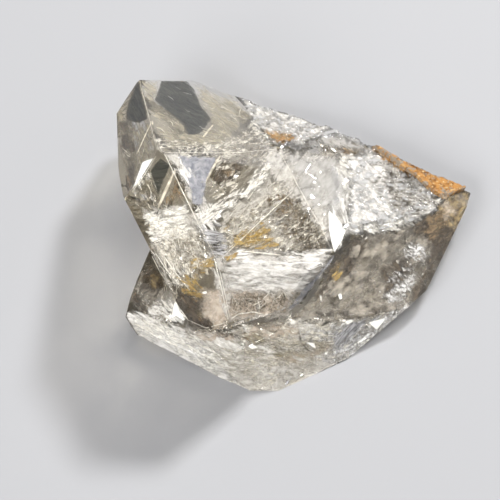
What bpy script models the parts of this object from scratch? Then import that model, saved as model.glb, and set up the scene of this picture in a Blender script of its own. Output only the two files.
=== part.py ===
# Herkimer diamond: two doubly ended quartz crystals grown through each other.
# A prismatic crystal lies with one end towards the front, and is joined to a
# flat-lying crystal that carries it. The group is broken along its back and its
# upper right, and a thin iron-oxide crust coats the sloping back break.
# Metres, +Z up. The group rests at Z = 0 and its box is centred on the origin.
#
# Every natural face is a cleaving plane, given by the way its normal points
# and by its reach, the distance in millimetres from the crystal's centre.

from math import cos, radians, sin

import bmesh
import bpy
import numpy as np
from mathutils import Vector

MM = 0.001
BLOCK = 140.0  # side of the rough block that each crystal is cleaved from, mm

# ---- Prismatic crystal ----
PRISM_CENTRE = Vector((-11.65, -8.8, 11.9))  # mm
PRISM_HEADING = -67.6  # long axis, degrees from +X towards +Y
PRISM_RISE = -3.4      # long axis, degrees above the horizontal
PRISM_ROLL = -8.0      # where azimuth 0 lies, degrees from straight up towards the left
# Azimuth is taken round the long axis, towards the left.
# Tilt leans a face towards the front end (+) or the rear end (-).
# Quartz has its prism faces 60 degrees apart, and its end faces at 38 degrees.
PRISM_FACES = {
    "upper_left_prism": (30.0, 0.0, 11.1),
    "upper_right_prism": (-30.0, 0.0, 7.05),
    "front_right_rhomb": (-30.0, 38.0, 10.1),
    "front_left_rhomb": (30.0, 38.0, 13.3),
    "rear_right_slope": (-30.0, -15.2, 9.6),
    "rear_left_slope": (49.0, -29.5, 14.7),
    "left_prism": (112.5, 1.2, 7.25),
    "right_prism": (-90.0, 0.0, 16.8),
    "front_right_bevel": (-59.0, 50.5, 12.6),
    "left_front_underside": (127.5, -0.5, 4.75),
    "front_left_underside": (152.0, 30.0, 6.6),
    "front_underside": (177.0, 46.5, 8.2),
    "rear_end": (17.0, -80.5, 28.75),
    "rear_right_end": (-74.5, -62.5, 31.1),
    "rear_left_end": (84.0, -52.0, 22.55),
    "rear_left_side": (111.5, -15.5, 10.25),
    "rear_left_lower": (138.5, -18.5, 13.4),
    "rear_underside": (-176.5, -31.0, 21.8),
    "underside": (-172.0, 3.4, 11.4),
}

# ---- Flat-lying crystal ----
SLAB_CENTRE = Vector((2.35, -4.6, 4.2))  # mm
# Heading is taken from +X towards +Y, rise is above the horizontal.
SLAB_FACES = {
    "left_top": (-117.5, 59.0, 10.4),
    "saddle_top": (-130.0, 85.5, 4.1),
    "front_skirt": (-90.0, 33.5, 13.75),
    "front_right_skirt": (-61.5, 32.5, 10.2),
    "right_top": (-39.5, 64.5, 5.4),
    "right_end": (-21.0, -21.5, 15.85),
    "right_underside": (-42.0, -31.5, 13.3),
    "front_right_underside": (-59.0, -37.0, 14.05),
    "front_left_underside": (-123.5, -36.5, 19.55),
    "front_left_bevel": (-117.5, -3.5, 21.2),
    "left_corner": (-156.0, -22.5, 25.4),
    "left_end": (160.5, 6.5, 21.2),
    "rear_left_end": (162.5, -1.5, 21.7),
    "rear_left_underside": (158.0, -42.0, 16.2),
    "back_underside": (66.0, -38.0, 17.3),
    "back_limit": (64.0, 2.0, 23.0),  # what stands past it is broken away below
    "resting_facet": (0.0, -90.0, 4.2),
}

# ---- Broken faces of the flat-lying crystal ----
# Middle of the patch in mm, heading and rise, then the patch's width and height,
# the grid step, the size of one fracture facet and how far the facets rise, in mm.
BREAKS = {
    "upper_right_break": ((8.25, 7.2, 6.6), 63.0, 77.5, 52.0, 44.0, 0.85, 3.0, 0.70),
    "upper_back_break": ((0.85, 17.5, 5.5), 74.5, 62.5, 44.0, 22.0, 0.80, 2.2, 0.40),
    "back_wall_left": ((1.75, 19.0, 4.7), 64.0, 2.0, 56.0, 26.0, 1.00, 2.6, 0.50),
    "back_wall_right": ((17.55, 11.3, 4.4), 63.5, 1.0, 56.0, 26.0, 1.00, 2.6, 0.50),
}
# The crust's bed is a back slope that is only gently lumpy.
BACK_SLOPE = ((17.65, 8.6, 5.1), 51.5, 60.0, 44.0, 26.0, 0.80)
BED_WAVE = 5.5      # mm from lump to lump on the bed
BED_RISE = 0.28     # mm that the lumps rise
SLAB_ABOVE = 16.0   # mm of rock that a break takes away above its own surface

# ---- Iron-oxide crust ----
CRUST_GAP = 0.30        # mm between the crust and its bed
CRUST_THICKNESS = 0.55  # mm in the middle
CRUST_EDGE = 0.18       # mm at its rim
# Edges of the crust on its bed, mm along and up the slope from the patch centre.
CRUST_UPPER_EDGE = ((-5.0, 1.1), (-1.2, 1.0), (3.2, 0.35), (8.6, -0.30))
CRUST_LOWER_EDGE = ((-5.2, -4.0), (-1.6, -2.4), (3.2, -0.85), (8.8, -0.85))
CRUST_COLUMNS = 36
CRUST_ROWS = 8


def clear_scene():
    for item in list(bpy.data.objects):
        bpy.data.objects.remove(item, do_unlink=True)


def make_material(name, colour, roughness, transmission=0.0, ior=1.5):
    material = bpy.data.materials.new(name)
    material.use_nodes = True
    shader = material.node_tree.nodes["Principled BSDF"]
    shader.inputs["Base Color"].default_value = (*colour, 1.0)
    shader.inputs["Roughness"].default_value = roughness
    shader.inputs["Metallic"].default_value = 0.0
    shader.inputs["Transmission Weight"].default_value = transmission
    shader.inputs["IOR"].default_value = ior
    return material


def compass(heading, rise):
    """The unit vector that points along a heading and rises by an angle."""
    flat = cos(radians(rise))
    return Vector((flat * cos(radians(heading)), flat * sin(radians(heading)), sin(radians(rise))))


def prism_frame():
    """The long axis, the upward direction across it, and the leftward one."""
    axis = compass(PRISM_HEADING, PRISM_RISE)
    left = Vector((0.0, 0.0, 1.0)).cross(axis).normalized() * -1.0
    up = left.cross(axis)
    return axis, up, left


def round_axis(frame, azimuth, tilt):
    """The normal of a crystal face at an azimuth round the axis, tilted towards it."""
    axis, up, left = frame
    turn = radians(azimuth + PRISM_ROLL)
    around = up * cos(turn) + left * sin(turn)
    return around * cos(radians(tilt)) + axis * sin(radians(tilt))


def cleave(mesh, centre, normal, reach):
    """Cut off everything beyond one plane, and close the cut with a flat face."""
    everything = mesh.verts[:] + mesh.edges[:] + mesh.faces[:]
    cut = bmesh.ops.bisect_plane(
        mesh, geom=everything, dist=1e-7, plane_co=(centre + normal * reach) * MM,
        plane_no=normal, clear_outer=True)
    rim = [edge for edge in cut["geom_cut"] if isinstance(edge, bmesh.types.BMEdge)]
    if rim:
        bmesh.ops.contextual_create(mesh, geom=rim)


def make_crystal(name, centre, normals_and_reaches):
    """A convex crystal: a block with one cleave for each of its faces."""
    mesh = bmesh.new()
    bmesh.ops.create_cube(mesh, size=BLOCK * MM)
    bmesh.ops.translate(mesh, verts=mesh.verts, vec=centre * MM)
    for normal, reach in normals_and_reaches:
        cleave(mesh, centre, normal, reach)
    bmesh.ops.recalc_face_normals(mesh, faces=mesh.faces)
    data = bpy.data.meshes.new(name)
    mesh.to_mesh(data)
    mesh.free()
    crystal = bpy.data.objects.new(name, data)
    bpy.context.scene.collection.objects.link(crystal)
    return crystal


def patch_frame(middle, heading, rise):
    """A patch's middle, and its along, up-slope and outward directions."""
    outward = compass(heading, rise)
    along = Vector((0.0, 0.0, 1.0)).cross(outward).normalized()
    upslope = outward.cross(along)
    return Vector(middle), along, upslope, outward


def hackle(along, upslope, facet, rise, seed):
    """Height of a hackly fracture: small flat facets, each tilted and stepped its own way.

    The patch is shared out between scattered seeds, and each point takes the
    sloping plane of its nearest seed.
    """
    random = np.random.default_rng(seed)
    columns = np.arange(along.min() - facet, along.max() + facet, facet)
    rows = np.arange(upslope.min() - facet, upslope.max() + facet, facet * 0.8)
    seeds = np.stack(np.meshgrid(columns, rows), axis=-1).reshape(-1, 2)
    seeds = seeds + random.uniform(-0.45, 0.45, seeds.shape) * facet
    slopes = random.normal(0.0, 0.55, seeds.shape) * rise / facet
    steps = random.uniform(-0.5, 0.5, len(seeds)) * rise
    points = np.stack([along, upslope], axis=-1)
    offsets = points[..., None, :] - seeds
    nearest = (offsets ** 2).sum(axis=-1).argmin(axis=-1)
    offset = np.take_along_axis(offsets, nearest[..., None, None], axis=-2)[..., 0, :]
    swell = 0.6 * rise * np.sin(along / 4.7 + seed) * np.cos(upslope / 5.9 - seed)
    return (slopes[nearest] * offset).sum(axis=-1) + steps[nearest] + swell


def bed_height(along, upslope):
    """Height of the crust's bed: three crossing waves of low lumps."""
    first = np.sin(2.0 * np.pi * along / BED_WAVE + 0.7)
    second = np.sin(2.0 * np.pi * (0.6 * along + upslope) / BED_WAVE)
    third = np.cos(2.0 * np.pi * (along - 0.8 * upslope) / (1.7 * BED_WAVE))
    return BED_RISE * (first + second + third) / 3.0


def make_cutter(name, frame, width, height, step, surface):
    """A slab whose underside is a broken surface, to be taken out of the crystal."""
    centre, along, upslope, outward = frame
    columns = np.arange(-width / 2.0, width / 2.0 + step, step)
    rows = np.arange(-height / 2.0, height / 2.0 + step, step)
    along_grid, upslope_grid = np.meshgrid(columns, rows)
    heights = surface(along_grid, upslope_grid)
    mesh = bmesh.new()
    lattice = [
        [mesh.verts.new((centre + along * a + upslope * u + outward * h) * MM) for a, u, h in zip(*line)]
        for line in zip(along_grid.tolist(), upslope_grid.tolist(), heights.tolist())]
    for lower, upper in zip(lattice, lattice[1:]):
        for near, far, far_up, near_up in zip(lower, lower[1:], upper[1:], upper):
            mesh.faces.new((near, near_up, far_up, far))
    bmesh.ops.triangulate(mesh, faces=mesh.faces)
    raised = bmesh.ops.extrude_face_region(mesh, geom=mesh.faces[:])
    top = [item for item in raised["geom"] if isinstance(item, bmesh.types.BMVert)]
    bmesh.ops.translate(mesh, verts=top, vec=outward * SLAB_ABOVE * MM)
    bmesh.ops.recalc_face_normals(mesh, faces=mesh.faces)
    data = bpy.data.meshes.new(name)
    mesh.to_mesh(data)
    mesh.free()
    cutter = bpy.data.objects.new(name, data)
    bpy.context.scene.collection.objects.link(cutter)
    hide_tool(cutter)
    return cutter


def hide_tool(item):
    item.hide_render = True
    item.display_type = "WIRE"


def add_boolean(item, tool, operation):
    modifier = item.modifiers.new(f"{operation.lower()}_{tool.name}", "BOOLEAN")
    modifier.object = tool
    modifier.operation = operation
    modifier.solver = "EXACT"


def make_quartz_group(material):
    """Both crystals and every break, joined into one solid."""
    slab_faces = [(compass(heading, rise), reach) for heading, rise, reach in SLAB_FACES.values()]
    group = make_crystal("quartz_crystals", SLAB_CENTRE, slab_faces)
    frame = prism_frame()
    prism_faces = [(round_axis(frame, azimuth, tilt), reach) for azimuth, tilt, reach in PRISM_FACES.values()]
    prism = make_crystal("prismatic_crystal", PRISM_CENTRE, prism_faces)
    hide_tool(prism)
    for seed, (name, values) in enumerate(BREAKS.items()):
        middle, heading, rise, width, height, step, facet, relief = values

        def surface(along, upslope):
            return hackle(along, upslope, facet, relief, seed)

        cutter = make_cutter(name, patch_frame(middle, heading, rise), width, height, step, surface)
        add_boolean(group, cutter, "DIFFERENCE")
    middle, heading, rise, width, height, step = BACK_SLOPE
    bed = make_cutter("back_slope", patch_frame(middle, heading, rise), width, height, step, bed_height)
    add_boolean(group, bed, "DIFFERENCE")
    add_boolean(group, prism, "UNION")
    group.data.materials.append(material)
    return group


def edge_curve(points, share):
    """A smooth curve through a few edge points, as arrays along and up the slope."""
    places = np.array(points)
    knots = np.linspace(0.0, 1.0, len(places))
    fit = [np.polyfit(knots, places[:, axis], len(places) - 1) for axis in (0, 1)]
    return np.polyval(fit[0], share), np.polyval(fit[1], share)


def make_crust(material):
    """A lens-like sheet that follows its bed at a small gap and thins out to its rim."""
    centre, along, upslope, outward = patch_frame(*BACK_SLOPE[:3])
    length_share, width_share = np.meshgrid(
        np.linspace(0.0, 1.0, CRUST_COLUMNS + 1), np.linspace(0.0, 1.0, CRUST_ROWS + 1))
    lower_a, lower_u = edge_curve(CRUST_LOWER_EDGE, length_share)
    upper_a, upper_u = edge_curve(CRUST_UPPER_EDGE, length_share)
    across = lower_a + (upper_a - lower_a) * width_share
    up = lower_u + (upper_u - lower_u) * width_share
    under = bed_height(across, up) + CRUST_GAP
    bulge = np.sin(np.pi * length_share) ** 0.5 * np.sin(np.pi * width_share) ** 0.5
    lumps = 0.75 + 0.25 * np.sin(2.3 * across) * np.cos(3.1 * up + across)
    over = under + CRUST_EDGE + (CRUST_THICKNESS - CRUST_EDGE) * bulge * lumps
    mesh = bmesh.new()
    layers = []
    for heights in (under, over):
        layers.append([
            [mesh.verts.new((centre + along * a + upslope * u + outward * h) * MM) for a, u, h in zip(*line)]
            for line in zip(across.tolist(), up.tolist(), heights.tolist())])
    for layer in layers:
        for lower, upper in zip(layer, layer[1:]):
            for near, far, far_up, near_up in zip(lower, lower[1:], upper[1:], upper):
                mesh.faces.new((near, near_up, far_up, far))
    rims = []
    for layer in layers:
        right = [line[-1] for line in layer[1:-1]]
        left = [line[0] for line in layer[1:-1]]
        rims.append(layer[0] + right + layer[-1][::-1] + left[::-1])
    for index, (low, high) in enumerate(zip(*rims)):
        following = (index + 1) % len(rims[0])
        mesh.faces.new((low, rims[0][following], rims[1][following], high))
    bmesh.ops.triangulate(mesh, faces=mesh.faces)
    bmesh.ops.recalc_face_normals(mesh, faces=mesh.faces)
    data = bpy.data.meshes.new("iron_oxide_crust")
    mesh.to_mesh(data)
    mesh.free()
    crust = bpy.data.objects.new("iron_oxide_crust", data)
    bpy.context.scene.collection.objects.link(crust)
    crust.data.materials.append(material)
    return crust


clear_scene()
make_quartz_group(make_material("quartz", (0.90, 0.87, 0.82), 0.03, transmission=1.0, ior=1.544))
make_crust(make_material("iron_oxide", (0.62, 0.30, 0.07), 0.90))
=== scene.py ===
from math import cos, radians, sin

import bmesh
import bpy
import numpy as np
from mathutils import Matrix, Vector
from mathutils.bvhtree import BVHTree


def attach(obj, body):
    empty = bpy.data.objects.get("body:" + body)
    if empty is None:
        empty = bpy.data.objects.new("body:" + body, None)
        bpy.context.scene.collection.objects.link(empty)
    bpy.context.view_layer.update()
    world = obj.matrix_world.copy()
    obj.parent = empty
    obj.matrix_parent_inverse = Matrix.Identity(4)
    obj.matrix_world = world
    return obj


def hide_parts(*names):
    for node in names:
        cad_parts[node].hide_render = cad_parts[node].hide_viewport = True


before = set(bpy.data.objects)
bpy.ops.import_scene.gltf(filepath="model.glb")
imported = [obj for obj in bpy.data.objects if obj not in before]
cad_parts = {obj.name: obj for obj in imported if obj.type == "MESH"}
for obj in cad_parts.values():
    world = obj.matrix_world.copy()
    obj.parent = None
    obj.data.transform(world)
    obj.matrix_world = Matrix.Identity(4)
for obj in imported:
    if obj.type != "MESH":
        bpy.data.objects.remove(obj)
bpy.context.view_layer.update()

mm = 0.001

view = {
    "elevation": 55.0,                      # degrees that the camera looks down
    "lens": 800.0, "sensor": 36.0,          # mm
    "nearest": 0.01,                        # metres
    "width": 0.0695,                        # metres across the frame at the target
    "side": 500.0,                          # frame points across and down
    "target": (-0.00615, -0.0055, 0.0078),
    "turnedAway": 0.1,                      # outlines mark only what faces the camera by more than this
    "bounces": 20, "glossyBounces": 10, "clearBounces": 40,     # enough for light to cross the sheets
}

back = np.array([0.0, -cos(radians(view["elevation"])), sin(radians(view["elevation"]))])
up = np.array([0.0, sin(radians(view["elevation"])), cos(radians(view["elevation"]))])
right = np.array([1.0, 0.0, 0.0])
eye = np.array(view["target"]) + back * view["width"] * view["lens"] / view["sensor"]
pointSize = view["width"] / view["side"] / mm       # mm on the object for one frame point


def toFrame(places):
    # along the camera's rays: offset from the target over depth, in frame points across and down
    offset = places - np.array(view["target"])
    reach = np.linalg.norm(eye - np.array(view["target"]))
    scale = reach / (reach - offset @ back) / (pointSize * mm)
    return view["side"] / 2 + offset @ right * scale, view["side"] / 2 - offset @ up * scale


def frameRays(across, down):
    # from the eye through each frame point of the target's plane
    offset = (across[:, None] - view["side"] / 2) * right - (down[:, None] - view["side"] / 2) * up
    aim = np.array(view["target"]) + offset * pointSize * mm - eye
    return aim / np.linalg.norm(aim, axis=1, keepdims=True)


def insideDistance(across, down, outline):
    # distance to the nearest side in frame points, positive inside, by the crossing rule
    start = np.array(outline, float)
    side = np.roll(start, -1, axis=0) - start
    offset = np.stack([across, down], axis=1)[:, None] - start
    share = np.clip((offset * side).sum(-1) / (side ** 2).sum(-1), 0, 1)
    away = np.linalg.norm(offset - share[..., None] * side, axis=-1).min(axis=1)
    after = start + side
    crosses = (start[:, 1] > down[:, None]) != (after[:, 1] > down[:, None])
    rise = np.where(side[:, 1] == 0, 1e-9, side[:, 1])
    meeting = start[:, 0] + side[:, 0] * (down[:, None] - start[:, 1]) / rise
    inside = (crosses & (across[:, None] < meeting)).sum(axis=1) % 2 == 1
    return np.where(inside, away, -away)


def insideOutlines(points, direction, outlines):
    # the greatest inside distance to several outlines, and well outside on sides turned away
    across, down = toFrame(points)
    inside = np.max([insideDistance(across, down, outline) for outline in outlines], axis=0)
    return np.where(direction @ back > view["turnedAway"], inside, -9.0)


# nodes
def addNode(tree, kind, sockets=None):
    # a node, each socket given a plain value or joined to another node's output
    node = tree.nodes.new("ShaderNode" + kind)
    fillSockets(tree, node, sockets or {})
    return node


def fillSockets(tree, node, sockets):
    # plain values set, outputs linked
    for label, value in sockets.items():
        if isinstance(value, bpy.types.NodeSocket):
            tree.links.new(value, node.inputs[label])
        else:
            node.inputs[label].default_value = value


def sumOf(tree, operation, *operands):
    # one sum on two numbers or outputs
    node = addNode(tree, "Math", dict(enumerate(operands)))
    node.operation = operation
    return node.outputs[0]


def ranged(tree, value, low, high, least=0.0, most=1.0, easing="LINEAR"):
    # low..high stretched to least..most and held there
    node = addNode(tree, "MapRange", {
        "Value": value, "From Min": low, "From Max": high, "To Min": least, "To Max": most})
    node.interpolation_type = easing
    return node.outputs["Result"]


def blended(tree, amount, below, above):
    # the colour below at 0 and above at 1
    node = tree.nodes.new("ShaderNodeMix")
    node.data_type = "RGBA"
    fillSockets(tree, node, {"Factor": amount, "A": below, "B": above})
    return node.outputs["Result"]


def noiseOf(tree, place, scale, detail, roughness=0.5, distortion=0.0):
    # fractal noise of a place, even about 0.5
    return addNode(tree, "TexNoise", {
        "Vector": place, "Scale": scale, "Detail": detail, "Roughness": roughness,
        "Distortion": distortion}).outputs["Fac"]


def objectPlace(tree):
    # a point's place on its object, in metres
    return addNode(tree, "TexCoord").outputs["Object"]


def storedValue(tree, name):
    # a number kept on the mesh's points
    node = tree.nodes.new("ShaderNodeAttribute")
    node.attribute_name = name
    return node.outputs["Fac"]


def storeValue(data, name, numbers):
    # keeps a number on each point of the mesh
    layer = data.attributes.new(name, "FLOAT", "POINT")
    layer.data.foreach_set("value", numbers.astype(np.float32))


def smoothShading(data):
    # every triangle shaded from its points' normals
    data.polygons.foreach_set("use_smooth", np.ones(len(data.polygons), bool))


def newMaterial(name, sockets):
    # a material, its node tree and its shader with plain values on its sockets
    material = bpy.data.materials.new(name)
    material.use_nodes = True
    shader = material.node_tree.nodes["Principled BSDF"]
    fillSockets(material.node_tree, shader, sockets)
    return material, material.node_tree, shader


def addPiece(name, data, *materials):
    # a piece at the origin, unturned, its place in its mesh
    for material in materials:
        data.materials.append(material)
    piece = bpy.data.objects.new(name, data)
    bpy.context.scene.collection.objects.link(piece)
    return piece


# studio and camera
studio = {
    "floorColour": (0.34, 0.34, 0.35), "floorRoughness": 0.85,
    "floorSize": 2.4,
    "floorDrop": 0.00002,                   # keeps the floor clear of the resting facet
    "lamps": {                              # place and size in metres, power in watts
        "keyLamp": ((0.24, 0.34, 0.44), 0.10, 5.0),
        "fillLamp": ((-0.30, -0.50, 0.42), 0.30, 4.6),
    },
    "sky": 0.68, "skyHeight": 0.95, "horizon": 0.05,
}


def addLamp(name, place, size, power):
    # a square lamp turned towards the origin
    lamp = bpy.data.lights.new(name, "AREA")
    lamp.shape = "SQUARE"
    lamp.size = size
    lamp.energy = power
    item = bpy.data.objects.new(name, lamp)
    item.location = place
    item.rotation_euler = (-Vector(place)).to_track_quat("-Z", "Y").to_euler()
    bpy.context.scene.collection.objects.link(item)


def makeStudio(values):
    # a square of floor, two soft lamps, and a sky that brightens from the horizon to the top
    half, drop = values["floorSize"] / 2, values["floorDrop"]
    corners = [(-half, -half, -drop), (half, -half, -drop), (half, half, -drop), (-half, half, -drop)]
    data = bpy.data.meshes.new("floor")
    data.from_pydata(corners, [], [(0, 1, 2, 3)])
    paper = newMaterial("floorPaper", {
        "Base Color": (*values["floorColour"], 1), "Roughness": values["floorRoughness"]})[0]
    addPiece("floor", data, paper)
    for name, (place, size, power) in values["lamps"].items():
        addLamp(name, place, size, power)
    world = bpy.data.worlds.new("studio")
    bpy.context.scene.world = world
    world.use_nodes = True
    tree = world.node_tree
    split = addNode(tree, "SeparateXYZ", {0: addNode(tree, "TexCoord").outputs["Generated"]})
    sky = ranged(tree, split.outputs["Z"], 0.0, values["skyHeight"], values["horizon"], values["sky"])
    tree.links.new(sky, tree.nodes["Background"].inputs["Color"])


def makeCamera(values):
    # on the line back from the target, looking along it
    camera = bpy.data.cameras.new("camera")
    camera.lens = values["lens"]
    camera.sensor_width = values["sensor"]
    camera.clip_start = values["nearest"]
    item = bpy.data.objects.new("camera", camera)
    item.location = eye
    item.rotation_euler = Vector(back).to_track_quat("Z", "Y").to_euler()
    scene = bpy.context.scene
    scene.collection.objects.link(item)
    scene.camera = item
    scene.view_settings.view_transform = "Standard"
    scene.cycles.max_bounces = scene.cycles.transmission_bounces = values["bounces"]
    scene.cycles.glossy_bounces = values["glossyBounces"]
    scene.cycles.transparent_max_bounces = values["clearBounces"]


# the quartz
crystal = {
    "flatAngle": 1.2,           # degrees between triangles of one flat face
    "mergeAngle": 0.4,          # degrees under which its triangles are joined
    "mergeDistance": 1e-7,      # metres under which points are one
    "faceArea": 6.5,            # mm2 above which a flat patch is a natural face
    "chamfer": 0.09,            # mm, the light-catching edge between natural faces
    "triangleEdge": 0.60,       # mm, the longest edge left after refining
    "breakEdge": 0.24,          # mm, the longest edge on the breaks
    "refineRounds": 9,
    "sharpAngle": 9.0,
    # growth lines: rise and pitch in mm, the way they follow each other, and where they fade
    "growthRise": 0.010, "growthPitch": 0.90,
    "growthAcross": (0.38, -0.92, -0.06), "growthFade": (0.5, 0.6, 1.9),
    # facets underneath: height and size in mm, how far down a face has to look, the rounds that ease them
    "underRelief": 1.1, "underFacet": 2.6, "underSeed": 3, "underFacing": -0.25, "underRounds": 4,
    "rearEnd": (1.5, -3.0),     # mm along the prism and on X, below which the underside stays plain
    "prismMiddle": (-11.65, -8.8), "prismHeading": -67.6,
    # hackle on the breaks: height and size in mm, its grain's turn and stretch, fine and coarse shares
    "breakRelief": 0.085, "breakFacet": 0.34, "grainTurn": (0.86, 0.5), "grainStretch": (0.6, 1.0, 1.0),
    "fineSeed": 11, "fineShare": 0.8, "coarseSeed": 12, "coarseShare": 0.7, "coarser": 1.6,
    "rimShare": 0.25, "rimRounds": 3,       # what is left of the hackle at the rim of a break
    "frostShare": 0.30,         # facet heights over this are frosted white
    # the smooth parts of the break in frame points, the hackle left on them, and their ragged, eased rim
    "calmRelief": 0.12, "calmEase": 12.0, "calmRagged": 2.0, "calmClear": 2.0, "calmRim": 3.0,
    "calmParts": [
        [(240, 112), (262, 126), (276, 140), (296, 146), (314, 137), (334, 133), (368, 144), (372, 150),
         (352, 162), (349, 176), (354, 192), (350, 206), (352, 229), (336, 256), (322, 240), (300, 200),
         (268, 160)],
        [(428, 193), (452, 190), (476, 180), (476, 208), (436, 212)],
    ],
    "ior": 1.544, "smokeColour": (0.80, 0.765, 0.68), "smokeDensity": 88.0, "lampTint": (0.71, 0.695, 0.66),
    # roughness, transmission and base colour of the natural faces, the breaks and their frosted facets
    "finishes": {
        "quartzClear": (0.012, 1.0, (1.0, 1.0, 1.0)),
        "quartzBroken": (0.09, 0.88, (0.86, 0.85, 0.835)),
        "quartzFrosted": (0.24, 0.40, (0.53, 0.525, 0.515)),
    },
    # creases on the breaks, with painted shade: noise scale, detail and roughness, the range painted dark,
    # the bump in metres
    "creaseShadeColour": (0.15, 0.13, 0.105), "creaseHeading": 30.0, "creaseStretch": (0.30, 1.0, 1.0),
    "creaseNoise": (2000.0, 7.0, 0.7), "creaseShadeRange": (0.56, 0.68), "creaseBump": (0.8, 0.00030),
    # more painted shade on the creases inside these outlines: the rim's half-width in frame points, the
    # noise's shift
    "speckShadeRim": 6.0, "speckShadeShift": (-0.01, 0.09),
    "speckShadePatches": [
        [(376, 152), (404, 162), (434, 188), (446, 198), (424, 220), (392, 214), (370, 184)],
        [(288, 118), (330, 133), (344, 140), (306, 142)],
    ],
    # rust inside these, its rim moved by a noise: scale, detail, frame points
    "rustColour": (0.46, 0.25, 0.085), "rustNoise": (2600.0, 4.0), "rustRagged": 16.0, "rustRim": 1.5,
    "rustPatches": [
        [(250, 124), (262, 130), (275, 131), (292, 134), (297, 139), (284, 143), (270, 141), (260, 135)],
        [(368, 139), (384, 150), (400, 160), (418, 172), (416, 180), (402, 172), (388, 163), (374, 152)],
        [(456, 190), (468, 187), (467, 194), (456, 195)],
    ],
}

facets = {"slope": 0.9, "step": 0.6, "limit": 1.3}


def scatteredFacets(points, size, seed):
    # faceted relief within the limit: every point takes the sloping plane of its nearest scattered seed
    random = np.random.default_rng(seed)
    low, high = points.min(axis=0) - size, points.max(axis=0) + size
    counts = np.ceil((high - low) / size).astype(int)
    cell = np.floor((points - low) / size).astype(int)
    jitter = random.uniform(0.0, 1.0, (*(counts + 1), 3))
    slope = random.normal(0.0, facets["slope"], (*(counts + 1), 3))
    step = random.uniform(-facets["step"], facets["step"], tuple(counts + 1))
    best = np.full(len(points), 1e9)
    height = np.zeros(len(points))
    for shift in np.ndindex(3, 3, 3):       # the seeds of the 27 cells around each point
        near = np.clip(cell + np.array(shift) - 1, 0, counts)
        index = tuple(near.T)
        offset = points - (low + (near + jitter[index]) * size)
        away = (offset ** 2).sum(axis=1)
        closer = away < best
        value = (slope[index] * offset).sum(axis=1) / size + step[index]
        height = np.where(closer, value, height)
        best = np.where(closer, away, best)
    return np.clip(height, -facets["limit"], facets["limit"])


def numberFaces(mesh, label, flat):
    # spreads one number over every patch of triangles that face alike, and lists the patches' areas in mm2
    areas = [0.0]
    for face in mesh.faces:
        if face[label]:
            continue
        face[label] = len(areas)
        waiting, area = [face], 0.0
        while waiting:
            current = waiting.pop()
            area += current.calc_area() / mm ** 2
            for near in current.edges:
                for other in near.link_faces:
                    # a triangle without a normal counts as turned by 9 radians
                    if not other[label] and other.normal.angle(face.normal, 9.0) < flat:
                        other[label] = len(areas)
                        waiting.append(other)
        areas.append(area)
    return np.array(areas)


def refineSolid(source, edge, breakEdge, chamfer=0.0, values=crystal):
    # a fine copy of a solid: flat faces numbered, natural edges chamfered, then small triangles
    mesh = bmesh.new()
    mesh.from_mesh(source.data)
    bmesh.ops.remove_doubles(mesh, verts=mesh.verts, dist=values["mergeDistance"])
    label = mesh.faces.layers.int.new("face")
    big = numberFaces(mesh, label, radians(values["flatAngle"])) > values["faceArea"]
    pairs = [(e, [face[label] for face in e.link_faces]) for e in mesh.edges if len(e.link_faces) == 2]
    bmesh.ops.dissolve_limit(
        mesh, angle_limit=radians(values["mergeAngle"]), verts=mesh.verts,
        edges=[e for e, (one, two) in pairs if one == two])
    if chamfer:
        seams = []
        for e in mesh.edges:
            numbers = [face[label] for face in e.link_faces]
            if len(numbers) == 2 and e.is_convex and numbers[0] != numbers[1] and big[numbers].all():
                seams.append(e)
        bmesh.ops.bevel(mesh, geom=seams, offset=chamfer * mm, segments=1, affect="EDGES", clamp_overlap=True)
    bmesh.ops.triangulate(mesh, faces=mesh.faces)
    for _ in range(values["refineRounds"]):
        long = []
        for e in mesh.edges:
            limit = edge if all(big[face[label]] for face in e.link_faces) else breakEdge
            if e.calc_length() > limit * mm:
                long.append(e)
        if not long:
            break
        bmesh.ops.subdivide_edges(mesh, edges=long, cuts=1)
        bmesh.ops.triangulate(mesh, faces=[face for face in mesh.faces if len(face.verts) > 3])
    mesh.normal_update()
    data = bpy.data.meshes.new(source.name + "Fine")
    mesh.to_mesh(data)
    mesh.free()
    print(source.name, "refined to", len(data.polygons), "triangles")
    return data, big


def meshArrays(data):
    # places, triangles' corners, and at each point the direction of its triangles' summed normals
    points = np.zeros(len(data.vertices) * 3)
    data.vertices.foreach_get("co", points)
    normals = np.zeros(len(data.polygons) * 3)
    data.polygons.foreach_get("normal", normals)
    corners = np.zeros(len(data.polygons) * 3, np.int32)
    data.polygons.foreach_get("vertices", corners)
    points, normals, corners = points.reshape(-1, 3), normals.reshape(-1, 3), corners.reshape(-1, 3)
    direction = np.zeros_like(points)
    for side in range(3):
        np.add.at(direction, corners[:, side], normals)
    direction /= np.maximum(np.linalg.norm(direction, axis=1, keepdims=True), 1e-9)
    return points, corners, direction


def everyCorner(corners, flags, count):
    # true at a point where the flag is true on all of its triangles
    result = np.ones(count, bool)
    for side in range(3):
        np.logical_and.at(result, corners[:, side], flags)
    return result


def easeInward(corners, flags, rounds):
    # 0 at the rim of the flagged points, 1 well inside: neighbours averaged a few times, then stretched
    share, count = flags.astype(float), np.zeros(len(flags))
    for side in range(3):
        np.add.at(count, corners[:, side], 2.0)
    for _ in range(rounds):
        total = np.zeros(len(flags))
        for side in range(3):
            np.add.at(total, corners[:, side], share[corners].sum(axis=1) - share[corners[:, side]])
        share = np.where(flags, total / np.maximum(count, 1.0), 0.0)
    return np.clip(share * 1.7 - 0.5, 0, 1)


def facesAround(data, corners, big, count):
    # which triangles lie on natural faces, and which points lie inside one face or inside the breaks
    labels = np.zeros(len(data.polygons), np.int32)
    data.attributes["face"].data.foreach_get("value", labels)
    natural = big[labels]
    least, most = np.full(count, 10 ** 6), np.full(count, -1)
    for side in range(3):
        np.minimum.at(least, corners[:, side], labels)
        np.maximum.at(most, corners[:, side], labels)
    inner = everyCorner(corners, natural, count) & (least == most)
    return natural, inner, everyCorner(corners, ~natural, count)


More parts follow.
